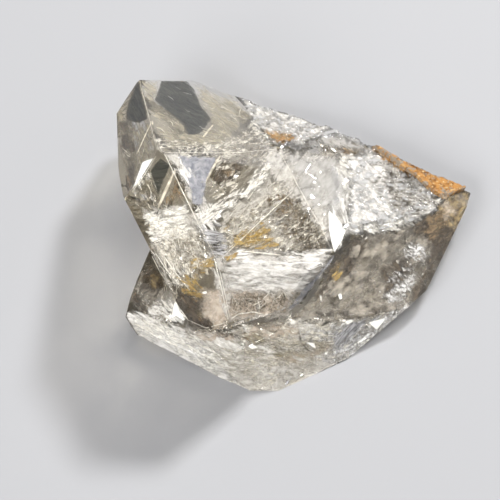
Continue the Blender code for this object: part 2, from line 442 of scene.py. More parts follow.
def growthMove(place, direction, inner, values):
    # a sine across the growth lines times a slow squared sine, on the natural faces that look up
    lines = np.sin(2 * np.pi * (place @ np.array(values["growthAcross"])) / values["growthPitch"])
    lines = lines * np.sin(place @ np.array(values["growthFade"])) ** 2
    return np.where(inner & (direction[:, 2] > 0), lines * values["growthRise"], 0.0)


def underMove(place, corners, direction, inner, values):
    # steep facets sunk into the underside, easing in from its rim
    heading = radians(values["prismHeading"])
    along = (place[:, :2] - values["prismMiddle"]) @ np.array([cos(heading), sin(heading)])
    rear = (along < values["rearEnd"][0]) & (place[:, 0] < values["rearEnd"][1])
    under = inner & (direction[:, 2] < values["underFacing"]) & ~rear
    height = scatteredFacets(place, values["underFacet"], values["underSeed"])
    share = (height + facets["limit"]) / (2 * facets["limit"])
    return under, -share * values["underRelief"] * easeInward(corners, under, values["underRounds"])


def reliefOnCrystal(data, big, values):
    # growth lines on natural faces, steep facets underneath, sharp hackle and frost on the breaks
    points, corners, direction = meshArrays(data)
    natural, inner, broken = facesAround(data, corners, big, len(points))
    place = points / mm
    under, sunk = underMove(place, corners, direction, inner, values)
    move = np.where(under, sunk, growthMove(place, direction, inner, values))
    turn, lean = values["grainTurn"]
    grain = place @ np.array([[turn, lean, 0.0], [-lean, turn, 0.0], [0.0, 0.0, 1.0]]).T
    grain = grain * np.array(values["grainStretch"])
    coarse = scatteredFacets(grain, values["breakFacet"] * values["coarser"], values["coarseSeed"])
    fine = scatteredFacets(grain, values["breakFacet"], values["fineSeed"])
    hackle = fine * values["fineShare"] + coarse * values["coarseShare"]
    calm = insideOutlines(points, direction, values["calmParts"]) + coarse * values["calmRagged"]
    ease = np.clip((calm + values["calmRim"]) / values["calmEase"], 0, 1)
    hackle = hackle * (1.0 + (values["calmRelief"] - 1.0) * ease ** 2 * (3 - 2 * ease))
    rim = values["rimShare"] + (1 - values["rimShare"]) * easeInward(corners, broken, values["rimRounds"])
    move = np.where(broken, hackle * values["breakRelief"] * rim, move)
    points = points + direction * (move * mm)[:, None]
    points[:, 2] = np.maximum(points[:, 2], 0.0)
    data.vertices.foreach_set("co", points.ravel())
    frost = coarse[corners].mean(axis=1) > values["frostShare"]
    clear = natural | (calm[corners].mean(axis=1) > values["calmClear"])
    data.polygons.foreach_set("material_index", np.where(clear, 0, np.where(frost, 2, 1)).astype(np.int32))
    smoothShading(data)
    data.update()
    data.set_sharp_from_angle(angle=radians(values["sharpAngle"]))
    # rust is a real stain; the second set of outlines marks where more shade is painted on the creases
    for stainAndShade in ("rust", "speckShade"):
        storeValue(data, stainAndShade, insideOutlines(points, direction, values[stainAndShade + "Patches"]))


def lampsThrough(tree, tint):
    # rays to lamps meet a plain tint instead of the glass
    path = addNode(tree, "LightPath")
    clear = addNode(tree, "BsdfTransparent", {"Color": (*tint, 1)})
    glass = tree.nodes["Principled BSDF"]
    mix = addNode(tree, "MixShader", {
        "Fac": path.outputs["Is Shadow Ray"], 1: glass.outputs[0], 2: clear.outputs[0]})
    tree.links.new(mix.outputs[0], tree.nodes["Material Output"].inputs["Surface"])


def stainAndShadeBreak(tree, shader, colour, values):
    # painted shade, dark where the stretched crease noise is high, and real rust where the rust's inside
    # distance plus noise is
    place = objectPlace(tree)
    grain = noiseOf(tree, place, *values["rustNoise"])
    spread = sumOf(tree, "MULTIPLY", sumOf(tree, "SUBTRACT", grain, 0.5), values["rustRagged"])
    rusty = ranged(tree, sumOf(tree, "ADD", storedValue(tree, "rust"), spread), 0.0, values["rustRim"])
    turned = addNode(tree, "Mapping", {         # creases run with the break's steps
        "Vector": place, "Scale": values["creaseStretch"],
        "Rotation": (0.0, 0.0, radians(values["creaseHeading"]))})
    crease = noiseOf(tree, turned.outputs["Vector"], *values["creaseNoise"])
    rim, shift = values["speckShadeRim"], values["speckShadeShift"]
    moreShade = ranged(tree, storedValue(tree, "speckShade"), -rim, rim, *shift)
    # painted shade: darker where the crease noise and the speck outlines are high
    dark = ranged(tree, sumOf(tree, "ADD", crease, moreShade), *values["creaseShadeRange"])
    strength, distance = values["creaseBump"]
    bump = addNode(tree, "Bump", {"Height": crease, "Strength": strength, "Distance": distance})
    base = blended(tree, dark, (*colour, 1), (*values["creaseShadeColour"], 1))
    base = blended(tree, rusty, base, (*values["rustColour"], 1))
    fillSockets(tree, shader, {"Normal": bump.outputs["Normal"], "Base Color": base})


def quartzMaterial(name, values):
    # glass with a smoky absorption; a finish that lets less through is a break, with painted crease shade and
    # a rust stain
    roughness, transmission, colour = values["finishes"][name]
    material, tree, shader = newMaterial(name, {
        "Base Color": (*colour, 1), "Transmission Weight": transmission, "IOR": values["ior"],
        "Roughness": roughness})
    smoke = addNode(tree, "VolumeAbsorption", {
        "Color": (*values["smokeColour"], 1), "Density": values["smokeDensity"]})
    tree.links.new(smoke.outputs[0], tree.nodes["Material Output"].inputs["Volume"])
    lampsThrough(tree, values["lampTint"])
    if transmission < 1:
        stainAndShadeBreak(tree, shader, colour, values)
    return material


def makeCrystal(values):
    # the two crystals as one piece, its three finishes chosen by reliefOnCrystal
    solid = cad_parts["quartz_crystals"]
    data, big = refineSolid(solid, values["triangleEdge"], values["breakEdge"], values["chamfer"])
    reliefOnCrystal(data, big, values)
    materials = [quartzMaterial(name, values) for name in values["finishes"]]
    piece = addPiece("quartzCrystals", data, *materials)
    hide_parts("quartz_crystals")
    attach(piece, "root")


crust = {
    "triangleEdge": 0.26,
    "bedFacing": (0.311, 0.391, 0.866),     # away from the quartz
    "underside": -0.3,                      # what faces less along it is the underside
    "bedGap": 0.36,                         # mm that the underside reaches down to its bed
    "lumpSize": 1.0, "lumpRise": 0.10, "lumpSeed": 21,
    "grainSize": 0.34, "grainRise": 0.05, "grainSeed": 22,
    # what is left of the film, in frame points; beyond it the sheet dips under the quartz
    "outline": [
        (376, 144), (384, 144), (398, 150), (414, 162), (432, 171), (452, 176), (472, 184), (463, 193),
        (446, 193), (438, 197), (430, 195), (425, 185), (416, 179), (412, 173), (403, 169), (398, 162),
        (389, 158), (383, 152), (378, 149)],
    "dip": 0.95, "dipRim": 3.0, "dipRagged": 14.0,
    "roughness": 0.92, "gloss": 0.2,
    "light": (0.40, 0.20, 0.06), "dark": (0.17, 0.075, 0.024), "pale": (0.50, 0.35, 0.18),
    "worn": (0.27, 0.22, 0.165), "wornRim": 4.0, "wornRagged": 34.0,
    "mottles": [(900.0, 0.46, 0.62, "dark"), (1700.0, 0.56, 0.66, "pale")],     # noise scale, range, colour
    "mottleDetail": 6.0,
}


def crustMaterial(values):
    # mottled by two noises, worn to a grey brown along its rim where the second noise lets it
    material, tree, shader = newMaterial("ironCrust", {
        "Roughness": values["roughness"], "Specular IOR Level": values["gloss"]})
    place = objectPlace(tree)
    colour = (*values["light"], 1)
    for scale, low, high, tint in values["mottles"]:
        noise = noiseOf(tree, place, scale, values["mottleDetail"])
        colour = blended(tree, ranged(tree, noise, low, high), colour, (*values[tint], 1))
    wander = sumOf(tree, "MULTIPLY", sumOf(tree, "SUBTRACT", noise, 0.5), values["wornRagged"])
    worn = ranged(tree, sumOf(tree, "ADD", storedValue(tree, "wear"), wander), values["wornRim"], 0.0)
    tree.links.new(blended(tree, worn, colour, (*values["worn"], 1)), shader.inputs["Base Color"])
    return material


def makeCrust(values):
    # lumps and grains pushed out along the normals, the underside pressed onto the quartz
    data, _ = refineSolid(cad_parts["iron_oxide_crust"], values["triangleEdge"], values["triangleEdge"])
    points, corners, direction = meshArrays(data)
    place, facing = points / mm, np.array(values["bedFacing"])
    outward = direction @ facing
    top = outward > values["underside"]
    lumps = scatteredFacets(place, values["lumpSize"], values["lumpSeed"]) * values["lumpRise"]
    grains = scatteredFacets(place, values["grainSize"], values["grainSeed"]) * values["grainRise"]
    wear = insideDistance(*toFrame(points), values["outline"])
    beyond = np.clip((1.0 - wear + lumps * values["dipRagged"]) / values["dipRim"], 0, 1)
    points = points + direction * ((lumps + grains) * top * mm)[:, None]
    points = points - facing * (values["dip"] * beyond * top * mm)[:, None]
    points = points - facing * (values["bedGap"] * (outward < values["underside"]) * mm)[:, None]
    data.vertices.foreach_set("co", points.ravel())
    storeValue(data, "wear", wear)
    data.update()
    piece = addPiece("ironCrust", data, crustMaterial(values))
    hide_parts("iron_oxide_crust")
    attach(piece, "root")


# flaws inside the quartz, and painted highlights, shade and reflections: sheets drawn between frame points
# and sunk along the refracted rays
sheets = {
    "step": 1.0,                # frame points between a sheet's points, unless its kind says another
    "overlap": 1.6,             # steps past the outline that are still worked out
    "startInside": 0.00002,     # metres past the surface before the way out is measured
    "leastDepth": 0.10,         # mm
    "mostReach": 0.6,           # share of the way through the quartz that a sheet may sink
    "patchShift": 37.0,         # mm on the noise from one patch to the next
}


def sunkPoints(tree, across, down, depth):
    # bent at the first surface by its refraction index, then a depth on, but only part of the way out
    found = np.zeros((len(across), 3))
    missed = np.zeros(len(across), bool)
    ior = crystal["ior"]
    for index, aim in enumerate(frameRays(across, down)):
        aim = Vector(aim)
        hit, normal, _, _ = tree.ray_cast(Vector(eye), aim)
        if hit is None:
            missed[index] = True
            continue
        slant = -normal.dot(aim)
        bend = slant / ior - (1 - (1 - slant * slant) / ior ** 2) ** 0.5
        inner = (aim / ior + normal * bend).normalized()
        way = tree.ray_cast(hit + inner * sheets["startInside"], inner)[3] or 0.0
        found[index] = hit + inner * min(depth[index] * mm, sheets["mostReach"] * way)
    return found, missed


def sheetPatch(tree, outline, depth, streak, values, seed):
    # a lattice turned to the streak's direction over the outline, with facets in its depth
    turn = radians(streak)
    axes = np.array([[cos(turn), sin(turn)], [-sin(turn), cos(turn)]])
    turned = np.array(outline, float) @ axes.T
    low, high = turned.min(axis=0) - 1, turned.max(axis=0) + 1
    step = values.get("step", sheets["step"])
    u, v = np.meshgrid(np.arange(low[0], high[0] + step, step), np.arange(low[1], high[1] + step, step))
    spots = np.stack([u.ravel(), v.ravel()], axis=1) @ axes
    inside = insideDistance(spots[:, 0], spots[:, 1], outline)
    flat = np.stack([u.ravel(), v.ravel(), np.zeros(u.size)], axis=1) * pointSize
    relief = scatteredFacets(flat * np.array([values.get("long", 1.0), 1.0, 1.0]), values["facet"], seed)
    sink = np.maximum(depth + relief * values["height"], sheets["leastDepth"])
    near = np.flatnonzero(inside > -sheets["overlap"] * step)
    points, missed = np.zeros((u.size, 3)), np.ones(u.size, bool)
    points[near], missed[near] = sunkPoints(tree, spots[near, 0], spots[near, 1], sink[near])
    columns = u.shape[1]
    corner = (np.arange(u.shape[0] - 1)[:, None] * columns + np.arange(columns - 1)).ravel()
    quads = np.stack([corner, corner + 1, corner + columns + 1, corner + columns], axis=1)
    keep = (inside[quads].max(axis=1) > 0) & ~missed[quads].any(axis=1)
    used, quads = np.unique(quads[keep], return_inverse=True)
    return points[used], quads.reshape(-1, 4), flat[used, :2], inside[used]


def sheetPiece(name, tree, values, material, seed):
    # all patches of one kind in one mesh, each with its place on the noise and its inside distance
    parts, count = [], 0
    for index, (outline, depth, streak) in enumerate(values["patches"]):
        points, quads, across, inside = sheetPatch(tree, outline, depth, streak, values, seed + index)
        parts.append((points, quads + count, across + index * sheets["patchShift"], inside))
        count += len(points)
    points, quads, across, inside = (np.concatenate(column) for column in zip(*parts))
    data = bpy.data.meshes.new(name)
    data.from_pydata(points.tolist(), [], quads.tolist())
    corners = np.zeros(len(data.loops), np.int32)
    data.loops.foreach_get("vertex_index", corners)
    layer = data.uv_layers.new(name="across")
    layer.data.foreach_set("uv", across[corners].astype(np.float32).ravel())
    storeValue(data, "inside", inside)
    if values.get("smooth"):
        smoothShading(data)
    data.update()
    piece = addPiece(name, data, material)
    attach(piece, "root")
    print(name, "has", len(data.polygons), "quads")


sheetMask = {
    "Scale": 1.0, "Stretch": (1, 1, 1),         # clouds a mm, and how they are drawn along the streak
    "Threshold": 0.5, "Softness": 0.08,         # the noise at a cloud's rim, and how soft the rim is
    "Strength": 1.0, "Fade": 4.0,               # the most alpha, and frame points to fade at the outline
    "Cluster Scale": 0.25, "Cluster": 0.0,      # wider clouds that gather the small ones, and how strongly
    "Tone Scale": 4.0, "Ragged": 26.0,          # the tones' noise, and frame points that the outline wanders
    "Detail": 6.0, "Distortion": 0.9,
}

sheetNoise = {
    "roughness": 0.66, "middle": 0.54,
    "clusterRange": (0.42, 0.58), "toneRange": (0.36, 0.64),
    "rim": 1.5,                 # frame points at the outline that are always faded
}


def makeSheetMaskGroup(defaults, values):
    # streaky cloud mask and a finer tone, both noise on the sheet's own mm, faded at the sheet's outline
    tree = bpy.data.node_groups.new("sheetMask", "ShaderNodeTree")
    for label, value in defaults.items():
        kind = "NodeSocketVector" if isinstance(value, tuple) else "NodeSocketFloat"
        tree.interface.new_socket(label, in_out="INPUT", socket_type=kind).default_value = value
    for label in ("Mask", "Tone"):
        tree.interface.new_socket(label, in_out="OUTPUT", socket_type="NodeSocketFloat")
    given, end = tree.nodes.new("NodeGroupInput").outputs, tree.nodes.new("NodeGroupOutput")
    place = tree.nodes.new("ShaderNodeUVMap")
    place.uv_map = "across"
    stretched = addNode(tree, "VectorMath", {0: place.outputs["UV"], 1: given["Stretch"]})
    stretched.operation = "MULTIPLY"
    streaks, tone, wide = (
        noiseOf(tree, source, given[label], given["Detail"], values["roughness"], given["Distortion"])
        for label, source in (("Scale", stretched.outputs[0]), ("Tone Scale", stretched.outputs[0]),
                              ("Cluster Scale", place.outputs["UV"])))
    least = sumOf(tree, "SUBTRACT", given["Threshold"], given["Softness"])
    most = sumOf(tree, "ADD", given["Threshold"], given["Softness"])
    clouds = ranged(tree, streaks, least, most, easing="SMOOTHSTEP")
    inside = storedValue(tree, "inside")
    wander = sumOf(tree, "MULTIPLY", sumOf(tree, "SUBTRACT", streaks, values["middle"]), given["Ragged"])
    fade = ranged(tree, sumOf(tree, "ADD", inside, wander), 0.0, given["Fade"], easing="SMOOTHSTEP")
    even = sumOf(tree, "SUBTRACT", 1.0, given["Cluster"])       # 1 where nothing is gathered
    cluster = ranged(tree, wide, *values["clusterRange"], even, easing="SMOOTHSTEP")
    rim = ranged(tree, inside, 0.0, values["rim"])
    mask = clouds
    for share in (fade, cluster, rim, given["Strength"]):
        mask = sumOf(tree, "MULTIPLY", mask, share)
    fillSockets(tree, end, {"Mask": mask, "Tone": ranged(tree, tone, *values["toneRange"])})
    return tree


def sheetMaterial(name, group, values):
    # two tones by the group's tone, its mask as alpha
    material, tree, shader = newMaterial(name, {
        "Specular IOR Level": values["gloss"], "Roughness": values["roughness"],
        "Metallic": values.get("metallic", 0.0)})
    maskNode = tree.nodes.new("ShaderNodeGroup")
    maskNode.node_tree = group
    fillSockets(tree, maskNode, values["mask"])
    colour = blended(tree, maskNode.outputs["Tone"], (*values["dark"], 1), (*values["light"], 1))
    fillSockets(tree, shader, {"Base Color": colour, "Alpha": maskNode.outputs["Mask"]})
    return material


# each kind of sheet, flaws and painted light alike: its two tones, the size and height in mm of its facets,
# which "long" under 1 draws out along the streak, its finish, its mask and its patches
snow = {                                    # thick white veils
    "light": (0.84, 0.83, 0.80), "dark": (0.40, 0.375, 0.33), "facet": 0.8, "height": 0.16, "long": 0.4,
    "roughness": 0.45, "gloss": 0.5,
    "mask": {"Scale": 1.8, "Stretch": (0.35, 1.0, 1.0), "Threshold": 0.44, "Softness": 0.10, "Fade": 5.0,
             "Tone Scale": 5.0, "Ragged": 40.0},
    # outline in frame points, depth in mm, streak direction in degrees
    "patches": [
        ([(141, 212), (158, 209), (187, 201), (191, 210), (188, 222), (200, 232), (186, 242), (166, 243),
          (154, 246), (146, 236)], 0.7, -15),
        ([(197, 205), (222, 198), (246, 181), (262, 160), (273, 158), (271, 180), (262, 192), (243, 202),
          (226, 214), (210, 229), (196, 226), (192, 212)], 0.7, -38),
        ([(132, 312), (160, 322), (196, 334), (222, 352), (232, 392), (190, 378), (128, 344)], 0.2, 28),
        ([(133, 315), (150, 320), (190, 342), (216, 358), (238, 372), (241, 400), (196, 380), (165, 364),
          (130, 345)], 0.4, 28),
        ([(190, 333), (232, 330), (250, 350), (240, 372), (216, 356)], 0.6, 20),
        ([(232, 364), (262, 352), (300, 356), (326, 362), (292, 402), (236, 406)], 0.45, 4),
        ([(330, 344), (372, 322), (402, 304), (420, 306), (384, 346), (350, 372)], 0.4, -36),
        ([(338, 150), (372, 146), (402, 159), (430, 186), (446, 198), (420, 224), (386, 236), (344, 236),
          (344, 200), (336, 176)], 0.55, 30),
        ([(349, 222), (400, 218), (428, 203), (442, 195), (444, 201), (430, 214), (400, 228), (349, 234)],
         0.3, -20),
        ([(240, 92), (290, 112), (330, 127), (344, 133), (318, 138), (300, 148), (264, 144), (250, 122)],
         0.5, 25),
    ],
}

paintedGlints = {                                   # painted highlights: single bright facets standing for glints
    "light": (1.0, 1.0, 0.98), "dark": (0.85, 0.84, 0.78), "facet": 1.5, "height": 0.05,
    "roughness": 0.35, "gloss": 0.5,
    "mask": {"Scale": 1.0, "Threshold": 0.25, "Softness": 0.10, "Fade": 1.0, "Tone Scale": 2.0,
             "Ragged": 3.0},
    "patches": [
        ([(328, 205), (333, 215), (337, 224), (347, 230), (342, 242), (334, 254), (331, 243), (328, 228)],
         0.25, 80),
        ([(175, 298), (179, 306), (187, 318), (184, 322), (176, 317), (170, 321), (172, 309)], 0.25, 60),
        ([(303, 341), (315, 342), (318, 352)], 0.10, 30),
        ([(366, 322), (389, 316), (377, 331)], 0.10, 0),
        ([(343, 321), (352, 318), (356, 321), (347, 326)], 0.10, 0),
        ([(322, 354), (330, 348), (327, 356)], 0.10, 0),
        ([(244, 346), (254, 344), (262, 348), (252, 350)], 0.10, 0),
        ([(155, 157), (142, 161), (131, 191), (138, 184)], 0.15, 110),
        ([(200, 292), (207, 290), (208, 294), (203, 295)], 0.3, 0),
        ([(238, 341), (247, 343), (243, 347)], 0.3, 0),
        ([(283, 348), (291, 347), (287, 352)], 0.3, 0),
        ([(337, 294), (342, 292), (343, 299), (339, 301)], 0.3, 0),
        ([(319, 293), (322, 296), (323, 304), (320, 301)], 0.3, 0),
        ([(352, 345), (366, 335), (370, 337), (356, 347)], 0.2, -36),
        ([(322, 356), (332, 350), (328, 358), (324, 361)], 0.3, 0),
    ],
}

drift = {                                   # broad pale veils
    "light": (0.885, 0.875, 0.865), "dark": (0.52, 0.50, 0.47), "facet": 1.2, "height": 0.10, "long": 0.4,
    "smooth": True, "roughness": 0.35, "gloss": 0.5,
    "mask": {"Scale": 1.1, "Stretch": (0.30, 1.0, 1.0), "Threshold": 0.43, "Softness": 0.16, "Fade": 8.0,
             "Tone Scale": 3.0, "Strength": 0.94, "Ragged": 44.0},
    "patches": [
        ([(219, 252), (244, 248), (292, 250), (334, 247), (338, 254), (322, 277), (302, 296), (262, 296),
          (222, 294)], 0.5, 1),
        ([(126, 308), (160, 316), (200, 330), (236, 332), (252, 350), (248, 404), (196, 384), (160, 368),
          (120, 346)], 0.4, 28),
        ([(128, 312), (176, 326), (216, 350), (244, 396), (198, 382), (124, 344)], 0.25, 28),
        ([(232, 354), (262, 342), (300, 344), (346, 352), (300, 404), (232, 408)], 0.35, 6),
        ([(240, 326), (290, 318), (340, 318), (350, 334), (300, 346), (250, 344)], 0.8, 4),
        ([(226, 288), (262, 288), (290, 292), (286, 308), (250, 302), (230, 306)], 0.5, 4),
        ([(326, 340), (372, 318), (408, 300), (422, 306), (384, 348), (346, 374)], 0.5, -36),
        ([(326, 204), (351, 222), (350, 196), (343, 168), (329, 168)], 0.35, 84),
        ([(346, 150), (384, 154), (398, 190), (390, 226), (346, 236)], 0.35, 40),
        ([(325, 206), (334, 257), (349, 238), (354, 220), (346, 196), (334, 190)], 0.3, 80),
        ([(238, 94), (290, 110), (334, 124), (322, 136), (300, 148), (262, 134)], 0.35, 25),
        ([(188, 196), (212, 200), (222, 224), (216, 250), (204, 240)], 0.7, 62),
        ([(165, 154), (194, 155), (198, 184), (195, 206), (182, 186)], 0.3, 62),
        ([(148, 304), (170, 294), (188, 316), (184, 328), (164, 324), (146, 314)], 0.4, 40),
    ],
}

frost = {                                   # grey and white speckle
    "light": (0.86, 0.86, 0.87), "dark": (0.10, 0.09, 0.075), "facet": 0.5, "height": 0.16, "long": 0.6,
    "roughness": 0.3, "gloss": 0.5,
    "mask": {"Scale": 1.7, "Stretch": (0.7, 1.0, 1.0), "Threshold": 0.46, "Softness": 0.10, "Fade": 6.0,
             "Tone Scale": 1.9, "Strength": 0.9},
    "patches": [
        ([(380, 298), (388, 276), (398, 262), (414, 262), (418, 282), (406, 303), (390, 306)], 0.5, 50),
        ([(396, 248), (410, 240), (430, 244), (428, 262), (408, 264)], 0.5, 30),
        ([(300, 330), (345, 318), (380, 316), (388, 338), (350, 368), (300, 386)], 0.5, -30),
        ([(318, 352), (350, 336), (402, 300), (420, 306), (370, 352), (330, 384)], 0.25, -36),
    ],
}

mist = {                                    # soft light clouds
    "light": (0.71, 0.69, 0.66), "dark": (0.45, 0.425, 0.39), "facet": 1.6, "height": 0.12, "smooth": True,
    "roughness": 0.4, "gloss": 0.4,
    "mask": {"Scale": 0.9, "Stretch": (0.6, 1.0, 1.0), "Threshold": 0.40, "Softness": 0.18, "Fade": 8.0,
             "Tone Scale": 3.0, "Strength": 0.78, "Ragged": 36.0},
    "patches": [
        ([(250, 126), (276, 142), (292, 149), (330, 150), (350, 158), (354, 196), (350, 222), (334, 256),
          (316, 232), (296, 204), (280, 192), (264, 176), (262, 156)], 0.7, -50),
        ([(140, 206), (190, 198), (214, 236), (210, 262), (176, 290), (150, 246)], 1.5, 52),
        ([(214, 214), (264, 170), (300, 190), (326, 250), (280, 256), (224, 254)], 2.2, -38),
        ([(126, 308), (190, 332), (290, 320), (340, 318), (396, 334), (350, 374), (296, 402), (236, 404),
          (196, 380), (160, 362)], 1.0, 12),
        ([(226, 366), (290, 362), (340, 346), (360, 352), (300, 400), (232, 404)], 0.2, 0),
        ([(344, 322), (400, 306), (410, 300), (372, 332), (342, 352)], 0.8, -36),
        ([(160, 150), (198, 152), (209, 186), (206, 214), (188, 206)], 0.35, 60),
        ([(206, 250), (226, 252), (238, 316), (226, 326), (212, 290)], 0.35, 78),
        ([(222, 284), (300, 284), (292, 320), (228, 324)], 0.55, 5),
        ([(222, 286), (300, 286), (290, 320), (228, 324)], 0.45, 5),
        ([(217, 248), (336, 246), (324, 277), (302, 298), (220, 296)], 0.9, 1),
    ],
}

milk = {                                    # creamy streaks
    "light": (0.84, 0.81, 0.75), "dark": (0.56, 0.52, 0.43), "facet": 0.6, "height": 0.20, "long": 0.6,
    "roughness": 0.35, "gloss": 0.5,
    "mask": {"Scale": 2.2, "Stretch": (0.42, 1.0, 1.0), "Threshold": 0.52, "Softness": 0.07, "Fade": 6.0,
             "Tone Scale": 4.0, "Strength": 0.85, "Cluster Scale": 0.35, "Cluster": 0.8},
    "patches": [
        ([(146, 226), (190, 218), (216, 260), (214, 272), (186, 296), (170, 284)], 0.55, 52),
        ([(214, 228), (262, 196), (282, 160), (330, 170), (330, 245), (290, 253), (224, 255)], 1.1, -38),
        ([(126, 308), (190, 328), (232, 330), (244, 402), (196, 380), (160, 364), (128, 346)], 0.5, 28),
        ([(228, 320), (290, 316), (340, 316), (390, 338), (350, 372), (294, 402), (236, 404)], 0.6, 8),
        ([(344, 316), (412, 300), (392, 342), (346, 368)], 0.5, -35),
        ([(150, 240), (196, 226), (214, 258), (184, 292), (168, 280)], 0.3, 60),
        ([(160, 149), (211, 147), (252, 121), (264, 131), (278, 146), (217, 155), (164, 152)], 0.5, -12),
        ([(150, 136), (200, 140), (244, 136), (252, 156), (230, 160), (164, 160)], 0.3, 2),
        ([(214, 154), (262, 148), (282, 148), (268, 166), (248, 184), (222, 200), (206, 206), (203, 190)],
         0.5, -35),
        ([(240, 330), (300, 322), (352, 322), (346, 362), (294, 400), (238, 402)], 0.25, 4),
        ([(125, 296), (146, 262), (166, 290), (170, 324), (140, 316)], 0.6, -60),
        ([(228, 292), (290, 290), (284, 313), (232, 318)], 0.5, 5),
    ],
}

haze = {                                    # thin olive films
    "light": (0.42, 0.38, 0.29), "dark": (0.22, 0.19, 0.13), "facet": 0.9, "height": 0.08, "long": 0.3,
    "roughness": 0.4, "gloss": 0.2,
    "mask": {"Scale": 1.5, "Stretch": (0.20, 1.0, 1.0), "Threshold": 0.50, "Softness": 0.16, "Fade": 5.0,
             "Tone Scale": 2.0, "Strength": 0.50, "Cluster Scale": 0.25, "Cluster": 0.7},
    "patches": [
        ([(140, 83), (193, 83), (238, 101), (250, 118), (212, 146), (163, 151), (152, 120)], 0.5, 28),
        ([(137, 86), (148, 117), (156, 152), (132, 190), (124, 172), (117, 135), (122, 106)], 0.45, 62),
        ([(154, 160), (163, 156), (186, 202), (160, 212), (138, 212), (133, 196)], 0.6, 60),
        ([(335, 262), (352, 240), (395, 240), (438, 226), (430, 262), (416, 296), (398, 306), (300, 311)],
         0.9, -32),
        ([(166, 153), (240, 153), (262, 160), (240, 184), (212, 200), (192, 206)], 0.9, -30),
        ([(206, 342), (262, 336), (336, 340), (304, 392), (240, 400), (200, 378)], 0.15, 6),
    ],
}

khaki = {                                   # olive films at the front end
    "light": (0.43, 0.39, 0.29), "dark": (0.15, 0.13, 0.085), "facet": 1.2, "height": 0.06, "long": 0.3,
    "smooth": True, "roughness": 0.5, "gloss": 0.2,
    "mask": {"Scale": 1.0, "Stretch": (0.22, 1.0, 1.0), "Threshold": 0.44, "Softness": 0.20, "Fade": 6.0,
             "Tone Scale": 2.2, "Strength": 0.70},
    "patches": [
        ([(138, 79), (163, 78), (158, 90), (154, 102), (166, 110), (184, 124), (190, 138), (216, 128),
          (222, 146), (163, 152), (150, 118)], 0.5, 30),
        ([(192, 80), (240, 96), (254, 118), (230, 144), (212, 124), (202, 104)], 0.6, 34),
        ([(180, 132), (214, 124), (236, 128), (226, 150), (160, 152), (170, 140)], 0.4, 16),
        ([(242, 334), (254, 330), (264, 329), (272, 342), (258, 347), (246, 344)], 0.15, 40),
        ([(268, 350), (292, 347), (300, 356), (276, 360)], 0.15, 10),
        ([(116, 112), (124, 96), (129, 102), (126, 121), (142, 124), (152, 122), (156, 152), (133, 192),
          (122, 164)], 0.35, 66),
    ],
}

fawn = {                                    # brown clouds
    "light": (0.40, 0.362, 0.305), "dark": (0.062, 0.05, 0.037), "facet": 1.5, "height": 0.20, "smooth": True,
    "roughness": 0.4, "gloss": 0.3,
    "mask": {"Scale": 0.35, "Stretch": (0.6, 1.0, 1.0), "Threshold": 0.44, "Softness": 0.20, "Fade": 10.0,
             "Tone Scale": 0.9, "Strength": 0.80, "Ragged": 30.0, "Detail": 3.5, "Distortion": 0.2},
    "patches": [
        ([(334, 264), (348, 234), (358, 229), (402, 225), (434, 210), (446, 216), (438, 262), (424, 298),
          (406, 309), (296, 316)], 0.7, -35),
        ([(312, 148), (326, 134), (350, 134), (374, 142), (370, 156), (348, 164), (322, 160)], 0.30, 20),
        ([(284, 322), (308, 296), (350, 298), (414, 288), (418, 302), (400, 318), (345, 326)], 0.45, -4),
        ([(122, 302), (140, 260), (162, 260), (176, 298), (150, 308)], 0.5, -50),
    ],
}

foil = {                                    # glints of open cracks
    "light": (0.99, 0.98, 0.96), "dark": (0.66, 0.63, 0.57), "facet": 0.5, "height": 0.22, "long": 0.6,
    "roughness": 0.16, "metallic": 1.0, "gloss": 0.5,
    "mask": {"Scale": 1.8, "Stretch": (0.5, 1.0, 1.0), "Threshold": 0.52, "Softness": 0.03, "Fade": 3.0,
             "Tone Scale": 4.0},
    "patches": [
        ([(152, 240), (200, 226), (214, 258), (178, 292), (168, 280)], 0.9, 55),
        ([(205, 232), (250, 205), (292, 196), (310, 208), (325, 252), (240, 250), (222, 252)], 1.5, -30),
        ([(228, 291), (292, 291), (284, 314), (232, 318)], 0.8, 5),
        ([(132, 300), (150, 297), (172, 306), (176, 326), (150, 326), (133, 316)], 0.6, 20),
        ([(190, 329), (290, 318), (345, 315), (410, 302), (386, 338), (340, 372), (290, 396), (236, 396),
          (200, 370), (170, 350)], 1.0, 10),
        ([(330, 340), (372, 318), (412, 300), (386, 338), (342, 370)], 0.4, -36),
        ([(384, 292), (398, 250), (420, 238), (434, 244), (426, 286), (408, 304), (392, 304)], 0.9, 50),
        ([(122, 150), (150, 170), (160, 206), (136, 206)], 0.5, 70),
        ([(212, 150), (262, 140), (284, 150), (262, 162), (240, 184), (208, 200)], 0.9, -30),
    ],
}

